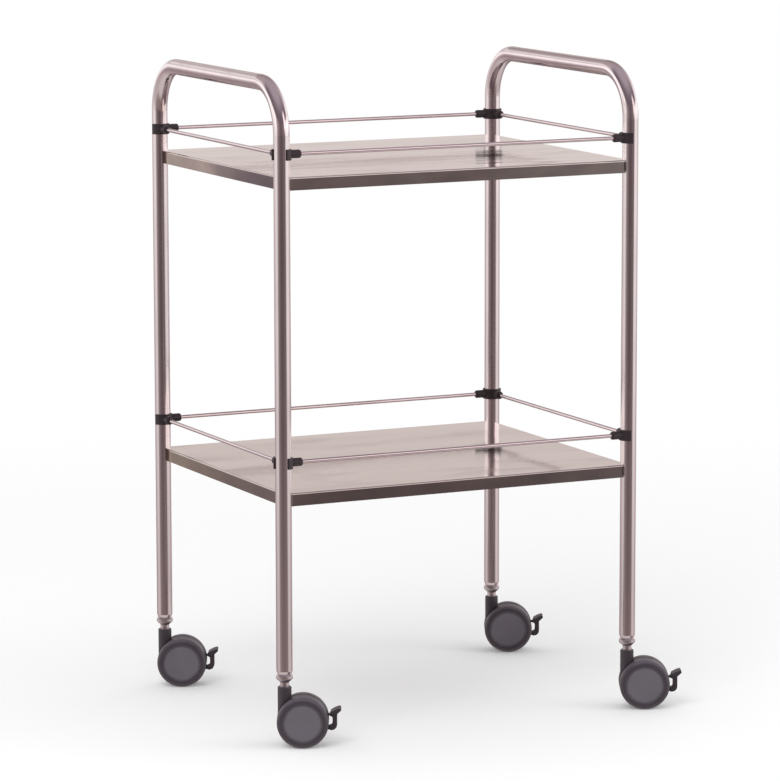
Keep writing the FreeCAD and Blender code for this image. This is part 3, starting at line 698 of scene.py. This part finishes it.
def bead_mesh(name, foot, length, radius, ripples):
    """A rippled bead that stands on foot, its ends drawn in."""
    shape = bmesh.new()
    count = ripples * RINGS_PER_RIPPLE
    rings = []
    for step in range(count + 1):
        share = step / count
        ripple = 1.0 - RIPPLE_DEPTH + RIPPLE_DEPTH * abs(math.sin(math.pi * share * ripples))
        bulge = math.sqrt(max(0.0, math.sin(math.pi * share)))
        size = radius * ripple * min(1.0, bulge * END_STEEPNESS + END_SIZE)
        ring = []
        for turn in range(BEAD_SEGMENTS):
            angle = 2 * math.pi * turn / BEAD_SEGMENTS
            sag = radius * RING_SAG * math.cos(angle)
            spot = (math.cos(angle) * size, math.sin(angle) * size, length * share - sag)
            ring.append(shape.verts.new(Vector(spot) + foot))
        rings.append(ring)
    for lower, upper in zip(rings, rings[1:]):
        for turn in range(BEAD_SEGMENTS):
            beside = (turn + 1) % BEAD_SEGMENTS
            shape.faces.new((lower[turn], lower[beside], upper[beside], upper[turn]))
    shape.faces.new(list(reversed(rings[0])))
    shape.faces.new(rings[-1])
    for face in shape.faces:
        face.smooth = True
    mesh = bpy.data.meshes.new(name)
    shape.to_mesh(mesh)
    shape.free()
    return mesh


class TROLLEY_OT_side_frames(bpy.types.Operator):
    """Finish the two bent tubes."""

    bl_idname = "trolley.side_frames"
    bl_label = "Side frames"

    def execute(self, context):
        steel = tube_steel(context.scene.trolley.steel)
        for side in SIDES:
            dress(f"side_frame_{side}", steel)
        return {"FINISHED"}


class TROLLEY_OT_trays(bpy.types.Operator):
    """Finish the trays and the channels under them."""

    bl_idname = "trolley.trays"
    bl_label = "Trays"

    def execute(self, context):
        look = context.scene.trolley.steel
        for level in LEVELS:
            steel = sheet_steel(level, look)
            dress(f"{level}_shelf", steel)
            dress(f"{level}_shelf_stiffener", steel)
        return {"FINISHED"}


class TROLLEY_OT_welds(bpy.types.Operator):
    """Lay the rippled weld beads between trays and legs."""

    bl_idname = "trolley.welds"
    bl_label = "Welds"

    def execute(self, context):
        looks = context.scene.trolley
        metal = weld_metal(looks.steel)
        weld = looks.weld
        for level in LEVELS:
            low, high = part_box(f"{level}_shelf")
            length = high.z - low.z - weld.margin * 2
            for side, sx in SIDES.items():
                frame_low, frame_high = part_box(f"side_frame_{side}")
                tube_radius = (frame_high.x - frame_low.x) / 2
                leg_x = abs(middle(f"side_frame_{side}").x)
                leg_y = frame_high.y - tube_radius
                inset = math.sqrt(tube_radius**2 - (high.y - leg_y) ** 2)
                spots = {"face": (leg_x - inset, high.y), "side": (high.x, leg_y - tube_radius)}
                for end, sy in ENDS.items():
                    for spot, (x, y) in spots.items():
                        foot = Vector((x * sx, y * sy, low.z + weld.margin))
                        name = f"weld_{level}_{end}_{side}_{spot}"
                        mesh = bead_mesh(name, foot, length, weld.radius, weld.ripples)
                        bead = new_piece(name, mesh, metal, "frame")
                        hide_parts("shelf_welds")
        return {"FINISHED"}


class TROLLEY_OT_rails(bpy.types.Operator):
    """Finish the guard rails."""

    bl_idname = "trolley.rails"
    bl_label = "Guard rails"

    def execute(self, context):
        look = context.scene.trolley.steel
        long_steel = rod_steel("rod_steel_long", look, True)
        short_steel = rod_steel("rod_steel_short", look, False)
        for level in LEVELS:
            for place in (*ENDS, *SIDES):
                dress(f"{level}_{place}_rail", long_steel if place in ENDS else short_steel)
        return {"FINISHED"}


class TROLLEY_OT_clips(bpy.types.Operator):
    """Finish the corner clips."""

    bl_idname = "trolley.clips"
    bl_label = "Corner clips"

    def execute(self, context):
        look = context.scene.trolley.plastic
        nylon = moulded("clip_plastic", look.clip_colour, look.clip_roughness, CLIP_UPWARD_TONE)
        for level in LEVELS:
            for corner in CASTORS:
                dress(f"{level}_clip_{corner}", nylon)
        return {"FINISHED"}


class TROLLEY_OT_castors(bpy.types.Operator):
    """Finish the castors with their wheels, caps and brake pedals."""

    bl_idname = "trolley.castors"
    bl_label = "Castors"

    def execute(self, context):
        steel = turned_steel(context.scene.trolley.steel)
        look = context.scene.trolley.plastic
        housing = moulded(
            "castor_plastic", look.housing_colour, look.housing_roughness, HOUSING_UPWARD_TONE
        )
        pedal = moulded("pedal_plastic", look.pedal_colour, look.pedal_roughness, PEDAL_UPWARD_TONE)
        dress("castor_washers", steel)
        for castor in CASTORS:
            for piece in ("stem", "axle", "brake_pin"):
                dress(f"castor_{castor}_{piece}", steel)
            dress(f"castor_{castor}_housing", housing)
            dress(f"castor_{castor}_brake_pedal", pedal)
            wheel = wheel_plastic(castor, look)
            cap = cap_plastic(castor, look)
            for which in WHEELS:
                dress(f"castor_{castor}_wheel_{which}", wheel)
                dress(f"castor_{castor}_cap_{which}", cap)
        return {"FINISHED"}


# What polished steel sees round the room just under eye level, from the camera's side at nought
# to the far side at 180 degrees, positive towards the right of the picture: dark ahead and a
# bright panel each side
SURROUND = (
    (-180, 0.30),
    (-170, 0.31),
    (-160, 0.36),
    (-149, 0.50),
    (-128, 0.53),
    (-112, 0.79),
    (-96, 0.88),
    (-84, 0.96),
    (-70, 0.98),
    (-64, 0.80),
    (-58, 0.40),
    (-48, 0.28),
    (-36, 0.18),
    (-24, 0.13),
    (-12, 0.10),
    (0, 0.085),
    (12, 0.10),
    (24, 0.12),
    (36, 0.16),
    (45, 0.15),
    (53, 0.15),
    (57, 0.45),
    (63, 0.92),
    (74, 0.98),
    (86, 1.06),
    (97, 1.00),
    (108, 0.85),
    (120, 0.70),
    (135, 0.60),
    (158, 0.40),
    (170, 0.31),
    (180, 0.30),
)
# How bright the far side is from straight down at -90 to straight up at 90: a dim floor, a
# bright band at eye level and a second one above it
FAR_RISE = (
    (-90, 0.90),
    (-27, 0.80),
    (-21, 0.63),
    (-15, 0.60),
    (-10, 0.80),
    (-6, 1.15),
    (-3, 1.42),
    (0, 2.00),
    (3, 2.39),
    (10.5, 2.23),
    (12.5, 1.45),
    (15, 1.42),
    (18, 1.80),
    (21, 2.12),
    (24, 1.25),
    (28, 0.85),
    (90, 1.00),
)
# The same for the side that the camera is on
NEAR_RISE = ((-90, 0.70), (-12, 0.80), (-8, 1.00), (4, 1.50), (24, 1.50), (50, 1.00), (90, 0.90))
# Where the camera's side gives way to the far side: how far a direction points to the camera
FAR_SIDE = (-0.15, -0.50)

# Further parts of the room are laid over that, one by one. Each pair of angles holds the degrees
# at which a part starts and at which it is full.

# The floor close to the camera, as the lower legs show it
NEAR_FLOOR_COLOUR = (0.50, 0.40, 0.385)
NEAR_FLOOR_RISE = (-8, -14)
NEAR_FLOOR_SHARE = 0.5
# The wall above the camera, which the tray tops show from behind
NEAR_WALL_COLOUR = (0.18, 0.14, 0.17)
NEAR_WALL_RISE = (13, 22)
# A window above eye level, which the rods of the long sides show as a bright line
WINDOW_COLOUR = (1.55, 1.38, 1.43)
WINDOW_TURN = ((40, 50), (74, 64))
WINDOW_RISE = ((1, 9), (42, 32))
# The floor straight below, then the ceiling
BELOW_COLOUR = (0.74, 0.70, 0.70)
BELOW_RISE = (-28, -55)
CEILING_COLOUR = (0.48, 0.42, 0.48)
CEILING_RISE = (24, 72)

# The tint of the darkest parts, and how fast it goes as they get brighter
DARK_TINT = (1.45, 1.0, 1.12)
NO_TINT = (1.0, 1.0, 1.0)
TINT_LOSS, TINT_CURVE = 1.3, 0.6
# The walls to the sides of the far half, and the one that only the tray tops show, each from
# its turn on to either side
SIDE_TINT = (1.04, 1.0, 1.02)
SIDE_FROM = 105
WALL_TINT = (1.11, 1.0, 0.98)
WALL_FROM = 165


def brightest(levels):
    return max(value for angle, value in levels)


def tinted_stops(levels, lowest, highest, dark_tint=DARK_TINT):
    """Ramp stops from angles and brightnesses; the darker they are, the more purple."""
    most = brightest(levels)
    stops = []
    for angle, value in levels:
        share = value / most
        plain = min(1.0, TINT_LOSS * share**TINT_CURVE)
        colour = [share * (tint + (1.0 - tint) * plain) for tint in dark_tint]
        if abs(angle) > SIDE_FROM:
            wall = WALL_TINT if abs(angle) > WALL_FROM else SIDE_TINT
            colour = [share * tint for tint in wall]
        stops.append(((angle - lowest) / (highest - lowest), colour))
    return stops


def studio_world(look):
    """Even light for what is matt, panels for what is polished and white behind it all."""
    world = bpy.data.worlds.new("studio")
    world.use_nodes = True
    nodes = Nodes(world.node_tree)
    direction = nodes.add("ShaderNodeTexCoord", {}, {}, "Generated")
    x, y, z = nodes.parts(direction)
    sine, cosine = math.sin(look.heading), math.cos(look.heading)
    ahead = x * -sine + y * -cosine
    beside = x * cosine + y * -sine
    turn = nodes.add("ShaderNodeMath", {"operation": "ARCTAN2"}, {0: beside, 1: ahead})
    rise = nodes.add("ShaderNodeMath", {"operation": "ARCSINE"}, {0: z})
    around = turn / (2 * math.pi) + 0.5
    ring = nodes.ramp(around, tinted_stops(SURROUND, -180, 180))
    above = rise / math.pi + 0.5
    far = nodes.ramp(above, tinted_stops(FAR_RISE, -90, 90))
    near = nodes.ramp(above, tinted_stops(NEAR_RISE, -90, 90, NO_TINT))
    near = nodes.vector("MULTIPLY", near, (brightest(NEAR_RISE) / brightest(FAR_RISE),) * 3)
    behind = nodes.step(ahead, *FAR_SIDE)
    seen = nodes.vector("MULTIPLY", ring, nodes.blend(behind, near, far))
    strength = brightest(SURROUND) * brightest(FAR_RISE)
    in_front = 1.0 - behind
    window = 1.0
    for angle, edges in ((turn, WINDOW_TURN), (rise, WINDOW_RISE)):
        for edge in edges:
            window = window * nodes.past(angle, edge)
    parts = (
        (nodes.past(rise, NEAR_FLOOR_RISE) * NEAR_FLOOR_SHARE * in_front, NEAR_FLOOR_COLOUR),
        (nodes.past(rise, NEAR_WALL_RISE) * in_front, NEAR_WALL_COLOUR),
        (window, WINDOW_COLOUR),
        (nodes.past(rise, BELOW_RISE), BELOW_COLOUR),
        (nodes.past(rise, CEILING_RISE), CEILING_COLOUR),
    )
    for share, colour in parts:
        seen = nodes.blend(share, seen, rgba(colour, 1.0 / strength))
    room = nodes.add("ShaderNodeBackground", {}, {"Color": seen, "Strength": strength})
    plain = (1.0, 1.0, 1.0, 1.0)
    even = nodes.add(
        "ShaderNodeBackground", {}, {"Color": plain, "Strength": look.plain_light}
    )
    white = nodes.add("ShaderNodeBackground", {}, {"Color": plain, "Strength": 1.0})
    glossy = nodes.add("ShaderNodeLightPath", {}, {}, "Is Glossy Ray")
    direct = nodes.add("ShaderNodeLightPath", {}, {}, "Is Camera Ray")
    lit = nodes.add("ShaderNodeMixShader", {}, {0: glossy, 1: even, 2: room})
    final = nodes.add("ShaderNodeMixShader", {}, {0: direct, 1: lit, 2: white})
    nodes.add("ShaderNodeOutputWorld", {}, {"Surface": final})
    bpy.context.scene.world = world


# The floor's radius, and where it starts to fade and is gone, in metres
FLOOR_RADIUS = 3.0
FLOOR_FADE = (1.2, 2.85)
FLOOR_SEGMENTS = 96


def studio_floor(look):
    """A pale floor that takes the soft shadow and fades into the white round it."""
    shape = bmesh.new()
    bmesh.ops.create_circle(
        shape, cap_ends=True, segments=FLOOR_SEGMENTS, radius=FLOOR_RADIUS
    )
    mesh = bpy.data.meshes.new("floor")
    shape.to_mesh(mesh)
    shape.free()
    floor = bpy.data.objects.new("floor", mesh)
    bpy.context.scene.collection.objects.link(floor)
    finish = Finish("floor_paint")
    flat = finish.vector("MULTIPLY", finish.place, (1.0, 1.0, 0.0))
    distance = finish.vector("LENGTH", flat, output="Value")
    fade = finish.step(distance, *FLOOR_FADE)
    paint = finish.add(
        "ShaderNodeBsdfPrincipled",
        {},
        {
            "Base Color": rgba(look.floor_colour),
            "Roughness": 0.9,
            "Emission Color": (1.0, 1.0, 1.0, 1.0),
            "Emission Strength": look.floor_glow,
        },
    )
    clear = finish.add("ShaderNodeBsdfTransparent")
    surface = finish.add("ShaderNodeMixShader", {}, {0: fade, 1: paint, 2: clear})
    finish.add("ShaderNodeOutputMaterial", {}, {"Surface": surface})
    mesh.materials.append(finish.material)
    floor.visible_glossy = False


# Each lamp's place and width in metres, and its power as a share of the key lamp's
LAMPS = {
    "key_lamp": ((-2.6, -2.4, 3.4), 2.6, 1.0),
    "fill_lamp": ((3.0, -2.0, 2.2), 2.0, 0.35),
}
# The width that the lens setting is for, in millimetres
SENSOR_WIDTH = 36.0


def studio_lamp(name, place, size, power):
    """A square lamp aimed at the middle of the trolley."""
    lamp = bpy.data.lights.new(name, "AREA")
    lamp.size, lamp.energy = size, power
    holder = bpy.data.objects.new(name, lamp)
    bpy.context.scene.collection.objects.link(holder)
    holder.location = place
    aim = Vector((0.0, 0.0, cad_high.z / 2)) - Vector(place)
    holder.rotation_mode = "QUATERNION"
    holder.rotation_quaternion = aim.to_track_quat("-Z", "Y")
    holder.visible_glossy = False


def studio_camera(look):
    """The camera that fits the photograph."""
    heading, pitch, roll = look.heading, look.pitch, look.roll
    forward = Vector(
        (
            math.sin(heading) * math.cos(pitch),
            math.cos(heading) * math.cos(pitch),
            -math.sin(pitch),
        )
    )
    level = Vector((math.cos(heading), -math.sin(heading), 0.0))
    down = forward.cross(level)
    right = level * math.cos(roll) + down * math.sin(roll)
    down = down * math.cos(roll) - level * math.sin(roll)
    lens = bpy.data.cameras.new("camera")
    lens.lens, lens.sensor_width, lens.sensor_fit = look.lens, SENSOR_WIDTH, "HORIZONTAL"
    camera = bpy.data.objects.new("camera", lens)
    bpy.context.scene.collection.objects.link(camera)
    turn = Matrix((right, -down, -forward)).transposed()
    camera.matrix_world = Matrix.Translation(Vector(look.place)) @ turn.to_4x4()
    bpy.context.scene.camera = camera


class TROLLEY_OT_studio(bpy.types.Operator):
    """Set up the floor, the lamps, the surround and the camera."""

    bl_idname = "trolley.studio"
    bl_label = "Studio"

    def execute(self, context):
        look = context.scene.trolley.studio
        context.scene.view_settings.view_transform = "Standard"
        studio_world(look)
        studio_floor(look)
        for name, (place, size, share) in LAMPS.items():
            studio_lamp(name, place, size, look.key_power * share)
        studio_camera(look)
        return {"FINISHED"}


OPERATORS = (
    TROLLEY_OT_side_frames,
    TROLLEY_OT_trays,
    TROLLEY_OT_welds,
    TROLLEY_OT_rails,
    TROLLEY_OT_clips,
    TROLLEY_OT_castors,
    TROLLEY_OT_studio,
)


class TROLLEY_PT_looks(bpy.types.Panel):
    """The trolley's finishes and its studio."""

    bl_idname = "TROLLEY_PT_looks"
    bl_label = "Ward trolley"
    bl_space_type = "VIEW_3D"
    bl_region_type = "UI"
    bl_category = "Trolley"

    def draw(self, context):
        for operator in OPERATORS:
            self.layout.operator(operator.bl_idname)
        looks = context.scene.trolley
        for group in (looks.steel, looks.plastic, looks.weld, looks.studio):
            box = self.layout.box()
            for name in group.__annotations__:
                box.prop(group, name)


CLASSES = (
    SteelLook,
    PlasticLook,
    WeldShape,
    StudioLook,
    TrolleyLooks,
    *OPERATORS,
    TROLLEY_PT_looks,
)


def register():
    for item in CLASSES:
        bpy.utils.register_class(item)
    bpy.types.Scene.trolley = PointerProperty(type=TrolleyLooks)


def unregister():
    del bpy.types.Scene.trolley
    for item in reversed(CLASSES):
        bpy.utils.unregister_class(item)


def main():
    register()
    bpy.ops.trolley.side_frames()
    bpy.ops.trolley.trays()
    bpy.ops.trolley.welds()
    bpy.ops.trolley.rails()
    bpy.ops.trolley.clips()
    bpy.ops.trolley.castors()
    bpy.ops.trolley.studio()


if __name__ == "__main__":
    main()
